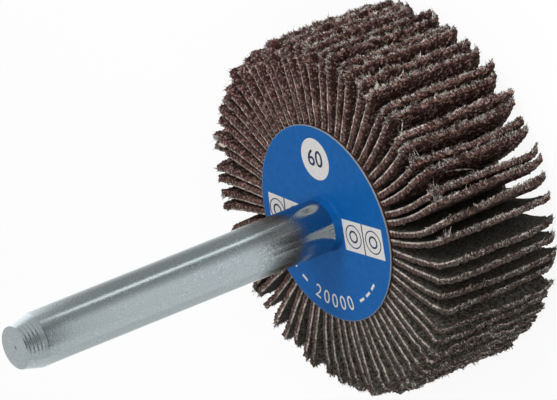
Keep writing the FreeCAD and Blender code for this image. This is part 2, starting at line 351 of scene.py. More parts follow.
def make_cloth_fibre(colours):
    """Torn ends of the cloth's yarn, greyed with grinding dust."""
    material, tree, shader = new_material("cloth_fibre", Roughness=0.85, Specular_IOR_Level=0.2)
    point = object_point(tree)
    dust = noise(tree, point, 0.8 * MM, 2.0, 0.6)
    strand = noise(tree, point, 0.2 * MM, 1.0, 0.5)
    mixed = calc(tree, "ADD", times(tree, dust, 0.6), times(tree, strand, 0.4))
    tints = (0.36, shade(colours.bond, 0.5)), (0.46, colours.bond), (0.55, shade(colours.fibre, 0.6))
    feed(tree, shader, Base_Color=ramp(tree, mixed, [*tints, (0.64, colours.fibre)]))
    return material


def make_plated_steel(colours):
    """Zinc plated steel with a fine crystal speckle."""
    material, tree, shader = new_material("plated_steel", Metallic=1.0, Anisotropic=0.0)
    point = object_point(tree)
    speckle = noise(tree, point, 0.17 * MM, 3.0, 0.7)
    bloom = noise(tree, point, 2.2 * MM, 3.0, 0.6)
    levels = ((0.38, 0.8), (0.52, 0.94), (0.66, 1.3))
    bright = ramp(tree, speckle, [(at, shade(colours.steel, level)) for at, level in levels])
    tint = blend_by(tree, bloom, 0.35, 0.75, bright, shade(colours.steel, 0.93))
    frosted = scaled(tree, spread(tree, speckle, 0.42, 0.58), 0.13, 0.05)
    feed(tree, shader, Base_Color=tint, Roughness=frosted, Normal=bump(tree, speckle, 0.014 * MM, 0.6))
    return material


def make_label_card(colours, rim, face):
    """Blue printed card, with a pale cut edge at its rim and painted shade, in the brown of the grain, on the
    card's wall below it.
    """
    material, tree, shader = new_material("label_card", Roughness=0.5, Specular_IOR_Level=0.12)
    point = object_point(tree)
    parts = add_node(tree, "ShaderNodeSeparateXYZ", {0: point})
    square = times(tree, parts.outputs[0], parts.outputs[0])
    square = scaled(tree, parts.outputs[1], parts.outputs[1], square)
    out = calc(tree, "SQRT", square)
    scuff = noise(tree, point, 0.35 * MM, 3.0, 0.7)
    mottle = noise(tree, point, 0.9 * MM, 3.0, 0.6)
    blue = blend_by(tree, mottle, 0.35, 0.65, shade(colours.label_blue, 0.85), colours.label_blue)
    scuffed = times(tree, spread(tree, scuff, 0.62, 0.8), 0.3)
    blue = blend_colours(tree, scuffed, blue, colours.card_edge)
    worn = calc(tree, "ADD", out, scaled(tree, scuff, 0.2, -0.1))
    # Painted shade: below its pale top edge the card's wall is coloured in grain brown
    depth = calc(tree, "SUBTRACT", face / MM, parts.outputs[2])
    darkened_share = calc(tree, "ADD", depth, scaled(tree, scuff, 0.2, -0.1))
    wall = blend_by(tree, darkened_share, 0.1, 0.17, colours.card_edge, colours.grain_main)
    blue = blend_by(tree, worn, rim / MM - 0.12, rim / MM - 0.03, blue, wall)
    feed(tree, shader, Base_Color=blue, Normal=bump(tree, scuff, 0.012 * MM, 0.5))
    return material


def make_print(name, colour):
    """Matt printing ink with a little card showing through."""
    material, tree, shader = new_material(name, Roughness=0.6, Specular_IOR_Level=0.25)
    fleck = noise(tree, object_point(tree), 0.22 * MM, 3.0, 0.7)
    feed(tree, shader, Base_Color=blend_by(tree, fleck, 0.3, 0.75, colour, shade(colour, 0.82)))
    return material


def make_bead_resin(colours):
    """Clear set resin over the blue card, painted a darker blue than the label: painted shade that keeps its
    lit wall as dark as the card.
    """
    material, tree, shader = new_material("bead_resin", Roughness=0.4, Specular_IOR_Level=0.15)
    cloud = noise(tree, object_point(tree), 0.8 * MM, 2.0, 0.5)
    # Painted shade: a darker copy of the label blue, so the lit bead renders as dark as the card
    deep, pale = shade(colours.label_blue, 0.6), shade(colours.label_blue, 0.72)
    feed(tree, shader, Base_Color=blend_by(tree, cloud, 0.3, 0.7, deep, pale))
    return material


def make_core_resin(colours):
    """The cast core, filled and slightly cloudy."""
    material, tree, shader = new_material("core_resin", Roughness=0.45)
    cloud = noise(tree, object_point(tree), 1.1 * MM, 4.0, 0.6)
    tint = blend_colours(tree, cloud, shade(colours.resin, 0.6), colours.resin)
    feed(tree, shader, Base_Color=tint, Normal=bump(tree, cloud, 0.05 * MM, 0.5))
    return material


def make_fibre_card(colours):
    """Plain grey-brown card with its fibres showing."""
    material, tree, shader = new_material("fibre_card", Roughness=0.8)
    point = object_point(tree)
    drawn_out = {"Vector": point, "Scale": (1.0, 0.25, 1.0)}
    stretched = add_node(tree, "ShaderNodeMapping", drawn_out).outputs[0]
    strands = noise(tree, stretched, 0.12 * MM, 4.0, 0.7)
    mottle = noise(tree, point, 1.8 * MM, 3.0, 0.6)
    tint = blend_by(tree, strands, 0.3, 0.7, shade(colours.back_card, 0.62), colours.back_card)
    tint = blend_by(tree, mottle, 0.4, 0.8, tint, shade(colours.back_card, 0.8))
    feed(tree, shader, Base_Color=tint, Normal=bump(tree, strands, 0.03 * MM, 0.6))
    return material


def finish(name, maker, *args):
    """The material of this name, made the first time that it is asked for."""
    return bpy.data.materials.get(FINISH + name) or maker(*args)


def new_object(name, data):
    """An object of the scene that shows some data."""
    made = bpy.data.objects.new(name, data)
    bpy.context.scene.collection.objects.link(made)
    return made


# Smooth pieces keep an edge sharp where it turns by more than this many degrees.
SHARP_ANGLE = 60.0


def new_piece(name, points, faces, materials, face_materials=None, smooth=True):
    """A mesh object that rides on the wheel's one body."""
    mesh = bpy.data.meshes.new(name)
    mesh.from_pydata(points, [], faces)
    for material in materials:
        mesh.materials.append(material)
    if face_materials is not None:
        mesh.polygons.foreach_set("material_index", face_materials)
    mesh.polygons.foreach_set("use_smooth", [smooth] * len(mesh.polygons))
    mesh.update()
    if smooth:
        mesh.set_sharp_from_angle(angle=math.radians(SHARP_ANGLE))
    piece = new_object(name, mesh)
    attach(piece, "root")
    return piece


def grid_faces(rows, columns, wrap_rows, wrap_columns):
    """Quads over a grid of points that are numbered row by row."""
    row = np.arange(rows if wrap_rows else rows - 1)[:, None]
    column = np.arange(columns if wrap_columns else columns - 1)[None, :]
    next_row = (row + 1) % rows
    next_column = (column + 1) % columns
    corners = [row * columns + column, next_row * columns + column,
               next_row * columns + next_column, row * columns + next_column]
    return np.stack([c.ravel() for c in np.broadcast_arrays(*corners)], axis=1)


def lathe(profile, segments, closed=True):
    """Points and faces of a profile of (radius, height) turned round the axis.

    A closed profile runs round a ring's section, and an open one starts and ends on the axis.
    """
    turns = np.linspace(0, 2 * np.pi, segments, endpoint=False)
    radius, height = np.array(profile, float).T
    if not closed:
        radius, height = radius[1:-1], height[1:-1]
    across, upright = radius[:, None] * np.cos(turns), radius[:, None] * np.sin(turns)
    rings = np.stack([across, upright, np.repeat(height[:, None], segments, axis=1)], axis=-1)
    points = rings.reshape(-1, 3).tolist()
    faces = grid_faces(len(radius), segments, closed, True)[:, ::-1].tolist()
    if not closed:
        last = (len(radius) - 1) * segments
        points += [[0, 0, profile[0][1]], [0, 0, profile[-1][1]]]
        foot, top = len(points) - 2, len(points) - 1
        for step in range(segments):
            following = (step + 1) % segments
            faces.append([foot, following, step])
            faces.append([top, last + step, last + following])
    return points, faces


# Flaps whose tips are curled over or pushed back, as the flap's number and how far, in millimetres.
CURLED = {14: 1.3, 15: 0.7, 18: 0.9, 20: -0.5, 23: 0.8, 26: 0.9, 27: 0.5, 30: 0.6, 38: -0.3, 39: 0.4}
CURLED |= {40: -0.4, 42: 0.5, 43: 0.6, 47: 0.4, 55: -0.4, 59: -0.4, 60: -0.5, 61: -0.6}


class Flap:
    """One flap of cloth: its place on the wheel, its bend, and its own unevenness."""

    def __init__(self, sizes, index):
        self.random = np.random.default_rng(SEED + index)
        self.barrel = (sizes.flap_thickness + sizes.root_gap) * FLAPS / (2 * math.pi)
        self.root = self.barrel - sizes.root_bury
        self.reach = sizes.wheel_diameter / 2 - self.root
        even = math.degrees(sizes.first_flap_angle) + index * 360 / FLAPS
        crowd = sizes.crowd_shift * math.cos(math.radians(even) - sizes.crowd_angle)
        first = index % FLAPS_PER_PAIR == 0
        pinch = sizes.pair_pinch if first else -sizes.pair_pinch
        scatter = ((index * GOLDEN_STEP) % 1 - 0.5) * sizes.flap_scatter
        self.setting = math.radians(even) - crowd
        self.heading = self.setting + sizes.root_tilt + pinch + scatter
        station = int(even // DRAG_STEP)
        share = even / DRAG_STEP - station
        drag = DRAG[station % len(DRAG)] * (1 - share) + DRAG[(station + 1) % len(DRAG)] * share
        self.bend = self.reach**2 / (sizes.wheel_diameter * math.tan(math.radians(drag)))
        low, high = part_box("flap_pair_01")
        self.middle = (low.z + high.z) / 2
        self.half_width = (high.z - low.z) / 2
        less_worn = 0.4 + math.cos(math.radians(even - HIGH_SIDE))
        self.trim = self.random.normal() * sizes.tip_scatter + less_worn * sizes.high_side
        self.slope = self.random.normal() * sizes.tip_scatter * 0.5
        wiped = max(0.0, math.cos(math.radians(even - DUST_AND_SHADE_SIDE)))
        self.fray = self.random.uniform(0.5, 1.2) * (1.3 if first else 0.8) * (1 - 0.65 * wiped)
        self.wave = self.random.normal(size=3) * sizes.sway * np.array([0.5, 0.6, 0.5])
        self.phase = self.random.uniform(0, 2 * np.pi, 2)
        self.horn = self.random.uniform(0.1, 1.3) * sizes.horn_lift
        self.curl = CURLED.get(index, 0.0) * MM
        worn = max(0.0, math.cos(math.radians(even - WORN_SIDE))) ** 8
        self.corner = sizes.corner_radius + worn * sizes.corner_wear
        self.rear_corner = sizes.rear_corner

    def place(self, reach, height, lift):
        """Points on the bent flap, from the way out of the root, the height and the lift off its middle."""
        share = np.clip(reach / self.reach, 0, 1.1)
        across = (height - self.middle) / self.half_width
        wave = self.wave[0] + self.wave[1] * across + self.wave[2] * np.sin(3.0 * across + self.phase[0])
        torn = np.clip(1 - (across + 1) * 6, 0, 1) ** 2
        lift = lift + wave * share**2 + (self.curl + self.horn * torn) * share**6
        turned = self.heading + reach / self.bend
        centre_x = self.root * math.cos(self.setting) - self.bend * math.sin(self.heading)
        centre_y = self.root * math.sin(self.setting) + self.bend * math.cos(self.heading)
        arm = self.bend - lift
        return np.stack([centre_x + arm * np.sin(turned), centre_y - arm * np.cos(turned), height], axis=-1)


# The notch at each end of a flap's root, and how many points a loop has along the root and round a corner.
NOTCH_REACH = 1.75 * MM
NOTCH_DEPTH = 1.05 * MM
ROOT_STEPS = 5
CORNER_STEPS = 9


def flap_loop(flap, sizes, inset):
    """One closed loop round the flap's outline, as reach and height, inset from its cut edge."""
    corner, rear = [max(radius - 0.5 * inset, 0.2 * MM) for radius in (flap.corner, flap.rear_corner)]
    top, low = flap.half_width - inset, inset - flap.half_width
    root, tip = 0.3 * inset, flap.reach - inset
    along = max(2, round((flap.reach - NOTCH_REACH - flap.corner) / sizes.edge_step))
    down = max(2, round(2 * (flap.half_width - flap.corner) / sizes.edge_step))
    notch = NOTCH_REACH + 0.5 * inset
    reach_root = np.linspace(root, notch, ROOT_STEPS, endpoint=False)
    reach_out = np.linspace(notch, tip - corner, along, endpoint=False)
    bow = np.linspace(0, math.pi / 2, CORNER_STEPS, endpoint=False)
    edge_down = np.linspace(top - corner, low + rear, down, endpoint=False)
    reach = [reach_root, reach_out, tip - corner + corner * np.sin(bow), np.full(down, tip)]
    height = [np.full(ROOT_STEPS, top), np.full(along, top), top - corner + corner * np.cos(bow), edge_down]
    reach += [tip - rear + rear * np.cos(bow), tip - rear - (tip - rear - notch) * np.arange(along) / along]
    height += [low + rear - rear * np.sin(bow), np.full(along, low)]
    reach += [notch + (root - notch) * np.arange(ROOT_STEPS) / ROOT_STEPS, np.full(ROOT_STEPS, root)]
    height += [np.full(ROOT_STEPS, low), np.linspace(low, top, ROOT_STEPS, endpoint=False)]
    reach, height = np.concatenate(reach), np.concatenate(height)
    waist = np.clip((notch - reach) / (0.15 * MM), 0, 1)
    height = height * (1 - waist * NOTCH_DEPTH / flap.half_width)
    return reach, height + flap.middle, ROOT_STEPS + along, CORNER_STEPS + down + CORNER_STEPS


# Rows of points across a flap: on each face, from the inside out, as (inset from the edge in millimetres,
# how cut it looks), and through the cut as (inset, place from the grain side at -1 to the cloth side at 1).
FACE_ROWS = ((2.2, 0.0), (0.8, 0.0), (0.3, 0.15), (0.12, 0.5))
CUT_ROWS = ((0.05, -1.0), (0.0, -0.7), (0.0, -0.35), (0.0, 0.0), (0.0, 0.35), (0.0, 0.7), (0.04, 1.0))


def flap_rows():
    """Each row's inset, its place from the grain side at -1 to the cloth side at 1, and how cut it looks."""
    grain = [(inset * MM, -1.0, cut) for inset, cut in FACE_ROWS]
    middle = [(inset * MM, through, 1.0) for inset, through in CUT_ROWS]
    cloth = [(inset * MM, 1.0, cut) for inset, cut in reversed(FACE_ROWS)]
    return grain + middle + cloth


def ripple(random, count, step, size):
    """Smooth random values round a closed loop, with features of about the given size."""
    waves = max(2, round(count * step / size))
    knots = random.normal(size=waves)
    places = np.arange(count) * waves / count
    near = places.astype(int)
    share = places - near
    share = share * share * (3 - 2 * share)
    return knots[near % waves] * (1 - share) + knots[(near + 1) % waves] * share


def smooth_round(values):
    """Average each point a little with its neighbours round the loop."""
    return 0.5 * values + 0.25 * (np.roll(values, 1, axis=0) + np.roll(values, -1, axis=0))


def flap_surface(flap, sizes):
    """Points of one flap, its faces, and each point's place on the cloth and share of cut edge."""
    rows = flap_rows()
    loops = [flap_loop(flap, sizes, inset) for inset, through, cut in rows]
    out_steps, tip_steps = loops[0][2], loops[0][3]
    reach, height = [np.stack([loop[part] for loop in loops], axis=1) for part in (0, 1)]
    inset, through, cut = np.array(rows).T
    count = len(reach)
    thick = sizes.flap_thickness - sizes.grain_worn
    lift = sizes.flap_thickness / 2 - (1 - through) / 2 * thick
    lift = np.broadcast_to(lift, reach.shape).copy()
    place = np.stack([reach, height, lift], axis=-1)

    # The loop's own outward direction in the plane of the cloth
    ahead, side = [np.roll(part, -1, axis=0) - np.roll(part, 1, axis=0) for part in (reach, height)]
    size = np.maximum(np.hypot(ahead, side), 1e-9)
    out_reach, out_height = -side / size, ahead / size

    step, random = sizes.edge_step, flap.random
    rough = random.normal(size=reach.shape)
    grain = smooth_round(rough)
    near_edge = np.clip(1 - inset / (0.8 * MM), 0, 1)
    free = np.clip((reach - NOTCH_REACH) / (0.5 * MM), 0, 1)
    worn = np.clip((reach - flap.reach) / (3.2 * MM) + 1.25, 0.2, 1)
    wander = ripple(random, count, step, 0.9 * MM) + 0.5 * ripple(random, count, step, 0.35 * MM)
    tuft = np.clip(ripple(random, count, step, 0.45 * MM) - 0.3, 0, 1.6) * sizes.tuft_lift * flap.fray
    on_cloth = np.clip((through - 0.2) / 0.6, 0, 1) * np.clip(1 - inset / (0.4 * MM), 0, 1) * worn
    outward = sizes.edge_ragged * wander[:, None] * near_edge * worn + tuft[:, None] * on_cloth
    outward = outward + (0.6 * rough + 0.4 * grain) * sizes.edge_rough * near_edge * worn**2
    grain_side = np.clip(-through, 0, 1)
    lumps = sizes.grain_lift * grain
    lift = lift - grain_side * np.clip(lumps, -0.05 * MM, 0.16 * MM) * free
    lift = lift + on_cloth * (0.4 * tuft[:, None] + 0.05 * MM * grain) * free
    across = (height - flap.middle) / flap.half_width
    trim = (flap.trim + flap.slope * across) * np.clip(reach / flap.reach * 3 - 2, 0, 1)
    reach = reach + (outward * out_reach) * free + trim
    height = height + (outward * out_height) * free

    points = flap.place(reach, height, lift)
    columns = len(rows)
    faces = grid_faces(count, columns, True, False).tolist()
    back_start = out_steps + tip_steps
    for column, order in ((0, 1), (columns - 1, -1)):
        inner = [point * columns + column for point in range(count)]
        for rung in range(out_steps):
            front = [inner[rung], inner[rung + 1]]
            rear = [inner[back_start + out_steps - rung - 1], inner[(back_start + out_steps - rung) % count]]
            faces.append((front + rear)[::order])
        faces.append(inner[out_steps:back_start + 1][::order])
        faces.append((inner[back_start + out_steps:] + inner[:1])[::order])
    cuts = np.broadcast_to(cut, reach.shape)
    edge = {"reach": reach, "height": height, "lift": lift, "out_reach": out_reach, "out_height": out_height}
    return points.reshape(-1, 3), faces, place.reshape(-1, 3), cuts.ravel(), edge


# Fibres stop this far above the floor. Their feet sit in some rows of the cut, most towards the cloth side.
FLOOR_ROOM = 0.1 * MM
FIBRE_SIDES = 3
FIBRES_PER_CLUMP = 7
FIBRE_ROWS = {2: 0.08, 3: 0.12, 4: 0.2, 5: 0.25, 6: 0.25, 7: 0.1}


def unit(vectors):
    """Each vector of an array, made one long."""
    return vectors / np.maximum(np.linalg.norm(vectors, axis=-1, keepdims=True), 1e-9)


def cone_points(feet, ends, radius, random):
    """Three points round each foot and one at each end, for thin three-sided cones."""
    along = unit(ends - feet)
    aside = unit(np.cross(along, random.normal(size=feet.shape)))
    over = np.cross(along, aside)
    turns = [2 * math.pi * side / FIBRE_SIDES for side in range(FIBRE_SIDES)]
    round_foot = [feet + radius[:, None] * (math.cos(t) * aside + math.sin(t) * over) for t in turns]
    return np.stack(round_foot + [ends], axis=1)


def fibre_points(flap, sizes, edge):
    """Loose yarn ends along the cut edge of the cloth side, in clumps, as thin cones."""
    random = flap.random
    count = int(sizes.fibre_count * flap.fray)
    clumps = count // FIBRES_PER_CLUMP + 1
    which = random.integers(0, clumps, count)
    out_to = edge["reach"][:, len(FACE_ROWS) + len(CUT_ROWS) // 2]
    chance = np.clip((out_to - flap.reach) / (2.5 * MM) + 1.1, 0.06, 1) ** 2
    chance[out_to < NOTCH_REACH + 0.8 * MM] = 0
    spot = random.choice(len(out_to), clumps, p=chance / chance.sum())
    at = (spot[which] + np.rint(random.normal(size=count) * 1.6).astype(int)) % len(out_to)
    column = len(FACE_ROWS) + random.choice(list(FIBRE_ROWS), count, p=list(FIBRE_ROWS.values()))
    pick = (at, column)
    tall = random.lognormal(0, 0.35, clumps)[which] * random.lognormal(0, 0.35, count)
    length = sizes.fibre_length * tall * np.clip((out_to[at] - flap.reach) / (6 * MM) + 1.1, 0.5, 1)
    lean = random.normal(size=(clumps, 3))[which] * 0.35 + random.normal(size=(count, 3)) * 0.35
    out = np.stack([edge["out_reach"][pick], edge["out_height"][pick], np.full(count, 0.5)], axis=-1) + lean
    out = unit(out)
    foot = np.stack([edge["reach"][pick], edge["height"][pick], edge["lift"][pick]], axis=-1)
    places = []
    for spot_on in (foot - 0.05 * MM * out, foot + length[:, None] * out):
        above_floor = np.maximum(spot_on[:, 1], FLOOR_ROOM)
        places.append(flap.place(spot_on[:, 0], above_floor, spot_on[:, 2]))
    radius = sizes.fibre_radius * random.uniform(0.6, 1.3, count)
    return cone_points(places[0], places[1], radius, random)


# Flaps with a tuft of torn yarn on the tip, as the flap's number and how far down the tip it sits.
TUFTED = {36: 0.5, 39: 0.5, 46: 0.03, 48: 0.03, 49: 0.04, 51: 0.0, 57: 0.02, 62: 0.03}
TUFT_FIBRES = 45


def tuft_points(flap, sizes, down):
    """A tuft of longer torn yarn at one spot of the flap's tip."""
    random = flap.random
    away = np.array([[0.2], [0.35], [0.08]]) * MM
    foot = random.normal(size=(3, TUFT_FIBRES)) * away + 0.3 * MM
    foot[0] += flap.reach + flap.trim - 0.6 * MM
    foot[1] += flap.middle + flap.half_width * (1 - 2 * down) - 0.6 * MM
    lean = np.array([[0.8], [0.2], [0.9]]) + random.normal(size=(3, TUFT_FIBRES)) * 0.6
    end = foot + random.uniform(0.25, 0.7, TUFT_FIBRES) * MM * lean
    feet, ends = flap.place(*foot), flap.place(*end)
    return cone_points(feet, ends, sizes.fibre_radius * random.uniform(0.8, 1.5, TUFT_FIBRES), random)


def fibre_faces(count, first):
    """Faces of every fibre: its foot and its three sides."""
    faces = []
    for fibre in range(count):
        base = first + fibre * (FIBRE_SIDES + 1)
        faces.append([base + side for side in reversed(range(FIBRE_SIDES))])
        for side in range(FIBRE_SIDES):
            faces.append([base + side, base + (side + 1) % FIBRE_SIDES, base + FIBRE_SIDES])
    return faces


def make_flap_pair(context, pair):
    """Two neighbouring flaps with their frayed ends, in place of their plain solids."""
    sizes, colours = settings(context)
    points, faces, places, cuts, kinds = [], [], [], [], []
    for one in range(FLAPS_PER_PAIR):
        flap = Flap(sizes, pair * FLAPS_PER_PAIR + one)
        surface, flap_faces, place, cut, edge = flap_surface(flap, sizes)
        first = sum(len(part) for part in points)
        faces += [[first + point for point in face] for face in flap_faces]
        kinds += [0] * len(flap_faces)
        points.append(surface)
        places.append(place)
        cuts.append(cut)
        hairs = fibre_points(flap, sizes, edge)
        down = TUFTED.get(pair * FLAPS_PER_PAIR + one)
        if down is not None:
            hairs = np.concatenate([hairs, tuft_points(flap, sizes, down)])
        hair_faces = fibre_faces(len(hairs), first + len(surface))
        faces += hair_faces
        kinds += [1] * len(hair_faces)
        points.append(hairs.reshape(-1, 3))
        places.append(np.zeros_like(points[-1]))
        cuts.append(np.ones(len(points[-1])))
    materials = [
        finish("abrasive_cloth", make_abrasive_cloth, colours, flap.reach),
        finish("cloth_fibre", make_cloth_fibre, colours),
    ]
    number = "{:02d}".format(pair + 1)
    piece = new_piece("frayed_flaps_" + number, np.concatenate(points).tolist(), faces, materials, kinds)
    placed = piece.data.attributes.new("place_on_cloth", "FLOAT_VECTOR", "POINT")
    placed.data.foreach_set("vector", np.concatenate(places).astype(np.float32).ravel())
    shown = piece.data.attributes.new("cut_edge", "FLOAT", "POINT")
    shown.data.foreach_set("value", np.concatenate(cuts).astype(np.float32))
    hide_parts("flap_pair_" + number)


def rounded(corners, radius, steps=4):
    """A profile whose inner corners are rounded, from its (radius, height) corners."""
    made = [corners[0]]
    for before, corner, after in zip(corners, corners[1:], corners[2:]):
        spot, back, ahead = Vector(corner), Vector(before) - Vector(corner), Vector(after) - Vector(corner)
        cut = min(radius, back.length / 2, ahead.length / 2)
        start, end = spot + back.normalized() * cut, spot + ahead.normalized() * cut
        for step in range(steps + 1):
            share = step / steps
            made.append(tuple((1 - share) ** 2 * start + 2 * share * (1 - share) * spot + share**2 * end))
    return made + [corners[-1]]


# The shank's turned shape beyond the sizes above: its taper, the round at its end, its pip and its seat.
SHANK_SEGMENTS = 96
TAPER_STEPS = 64
TAPER_LENGTH = 2.4 * MM
TAPER_DEPTH = 0.58 * MM
RIM_ROUND = 0.22 * MM
PIP_RADIUS = 0.35 * MM
PIP_HEIGHT = 0.15 * MM
SEAT_STEP = 0.3 * MM


def shank_profile(sizes):
    """The turned shank, from its buried foot past its shoulder to its marked taper and its pip."""
    low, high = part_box("shank")
    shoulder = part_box("resin_bead")[1].z
    wall = high.x
    end = high.z - PIP_HEIGHT
    taper = end - TAPER_LENGTH
    profile = [(0, low.z), (wall - SEAT_STEP, low.z), (wall - SEAT_STEP, shoulder), (wall, shoulder)]
    lengths = np.linspace(shoulder, taper - 0.12 * MM, 12)[1:]
    profile += [(wall, z) for z in lengths]
    for step in range(1, TAPER_STEPS):
        share = step / TAPER_STEPS
        z = taper + share * (TAPER_LENGTH - RIM_ROUND)
        ring = sizes.turned_ring_depth * math.cos(2 * math.pi * (z - taper) / sizes.turned_ring_pitch)
        profile.append((wall - TAPER_DEPTH * share + ring * min(1, max(0, 5 * share - 0.8)), z))
    rim = wall - TAPER_DEPTH
    swept = np.linspace(0, math.pi / 2, 6)
    profile += [(rim - RIM_ROUND * (1 - math.cos(a)), end - RIM_ROUND * (1 - math.sin(a))) for a in swept]
    profile += [(rim * share, end) for share in (0.7, 0.5, 0.3)]
    pip = [(PIP_RADIUS * math.cos(a), end + PIP_HEIGHT * math.sin(a)) for a in np.linspace(0, 1.4, 5)]
    return profile + pip + [(0, end + PIP_HEIGHT)]


class FLAPWHEEL_OT_shank(bpy.types.Operator):
    """Turn the plated shank with its tool marks"""

    bl_idname = "flapwheel.shank"
    bl_label = "Shank"

    def execute(self, context):
        sizes, colours = settings(context)
        points, faces = lathe(shank_profile(sizes), SHANK_SEGMENTS, closed=False)
        steel = finish("plated_steel", make_plated_steel, colours)
        piece = new_piece("turned_shank", points, faces, [steel])
        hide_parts("shank")
        return {"FINISHED"}


DISC_SEGMENTS = 160
CARD_ROUND = 0.06 * MM


class FLAPWHEEL_OT_label(bpy.types.Operator):
    """Press the blue label disc and set its resin bead"""

    bl_idname = "flapwheel.label"
    bl_label = "Label disc and bead"

    def execute(self, context):
        colours = context.scene.flap_wheel_colours
        low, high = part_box("label_disc")
        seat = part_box("shank")[1].x - SEAT_STEP
        corners = [(seat, low.z), (high.x, low.z), (high.x, high.z), (high.x - 3 * CARD_ROUND, high.z)]
        section = rounded(corners, CARD_ROUND) + [(seat, high.z)]
        points, faces = lathe(section, DISC_SEGMENTS)
        card = finish("label_card", make_label_card, colours, high.x, high.z)
        disc = new_piece("pressed_label", points, faces, [card])
        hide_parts("label_disc")

        foot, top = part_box("resin_bead")
        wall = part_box("shank")[1].x
        wide, tall = top.x - wall, top.z - foot.z
        swept = [math.radians(a) for a in range(90, -1, -10)]
        hollow = [(wall + wide * (1 - math.cos(a)), foot.z + tall * (1 - math.sin(a))) for a in swept]
        section = [(seat, top.z), (seat, foot.z)] + hollow
        points, faces = lathe(section, DISC_SEGMENTS)
        bead = new_piece("set_bead", points, faces, [finish("bead_resin", make_bead_resin, colours)])
        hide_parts("resin_bead")
        return {"FINISHED"}


# Where the label's own up points, in degrees round the axis.
LABEL_UP = 337.7


def turn_matrix(angle):
    return Matrix.Rotation(math.radians(angle), 4, "Z")


def label_matrix(right, up, label_turn=LABEL_UP - 90, turn=0.0):
    """A spot on the label's face, from its middle, with the label turned and then the spot itself."""
    middle = Matrix.Translation((0, 0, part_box("label_disc")[1].z)) @ turn_matrix(label_turn)
    return middle @ Matrix.Translation((right, up, 0)) @ turn_matrix(turn)


def arc_matrix(angle):
    """A spot on the lower arc of the label, with its top towards the middle."""
    return label_matrix(0, -ARC_RADIUS, angle + 90)


# The segments of a printed round, and a numeral's height as a share of the font's size.
PRINT_SEGMENTS = 64
NUMERAL_SHARE = 0.73


class PrintLayer:
    """Flat closed shapes that share one ink."""

    def __init__(self, proud):
        self.proud = proud
        self.points = []
        self.faces = []

    def add(self, points, faces, matrix):
        first = len(self.points)
        self.points += [tuple(matrix @ Vector(point)) for point in points]
        self.faces += [[first + point for point in face] for face in faces]

    def plate(self, outline, matrix):
        """A flat plate from its outline, given counter-clockwise."""
        count = len(outline)
        points = [(x, y, z) for z in (-self.proud, self.proud) for x, y in outline]
        faces = [list(range(count))[::-1], list(range(count, 2 * count))]
        for one in range(count):
            following = (one + 1) % count
            faces.append([one, following, count + following, count + one])
        self.add(points, faces, matrix)

    def bar(self, width, height, matrix):
        x, y = width / 2, height / 2
        self.plate([(-x, -y), (x, -y), (x, y), (-x, y)], matrix)

    def dot(self, radius, matrix):
        turns = [2 * math.pi * step / PRINT_SEGMENTS for step in range(PRINT_SEGMENTS)]
        self.plate([(radius * math.cos(t), radius * math.sin(t)) for t in turns], matrix)

    def ring(self, radius, width, matrix):
        inner, outer = radius - width / 2, radius + width / 2
        section = [(inner, -self.proud), (outer, -self.proud), (outer, self.proud), (inner, self.proud)]
        points, faces = lathe(section, PRINT_SEGMENTS)
        self.add(points, faces, matrix)

    def digits(self, body, height, matrix, widen, thicken=0.0):
        """Plain numerals in Blender's own font, at the given height."""
        curve = bpy.data.curves.new("numerals", "FONT")
        curve.body = body
        curve.align_x = "CENTER"
        curve.align_y = "CENTER"
        curve.size = height / NUMERAL_SHARE
        curve.extrude = self.proud
        curve.offset = thicken
        curve.resolution_u = 4
        holder = new_object("numerals", curve)
        bpy.context.view_layer.update()
        mesh = bpy.data.meshes.new_from_object(holder.evaluated_get(bpy.context.evaluated_depsgraph_get()))
        points = [(v.co.x * widen, v.co.y, v.co.z) for v in mesh.vertices]
        self.add(points, [list(p.vertices) for p in mesh.polygons], matrix)
        bpy.data.objects.remove(holder)
        bpy.data.meshes.remove(mesh)
        bpy.data.curves.remove(curve)

    def finish(self, name, material):
        piece = new_piece(name, self.points, self.faces, [material], smooth=False)


GRIT_SPOT_UP = 7.4 * MM
GRIT_SPOT_RADIUS = 2.4 * MM
GRIT_HEIGHT = 1.95 * MM
PLATE_WIDTH = 6.9 * MM
PLATE_HEIGHT = 3.57 * MM
PLATE_RIGHT = 6.6 * MM

# Each plate's side, how far up it sits, its turn in degrees, and where its divider stands.
PLATES = ((-1, -0.2 * MM, -4.5, -0.65 * MM), (1, -0.65 * MM, 0.0, 0.0))
DIVIDER_WIDTH = 0.17 * MM

# Each ring's radius and width, then the numerals and bars on the lower arc, in degrees round the label.
RINGS = ((1.3 * MM, 0.13 * MM), (0.62 * MM, 0.22 * MM))
ARC_RADIUS = 9.2 * MM
ARC_HEIGHT = 1.7 * MM
ARC_START = 136.4
ARC_STEP = 9.0
ARC_BARS = (108.0, 121.0, 187.5, 197.0, 206.5)
ARC_BAR_WIDTH = 0.95 * MM
ARC_BAR_HEIGHT = 0.3 * MM


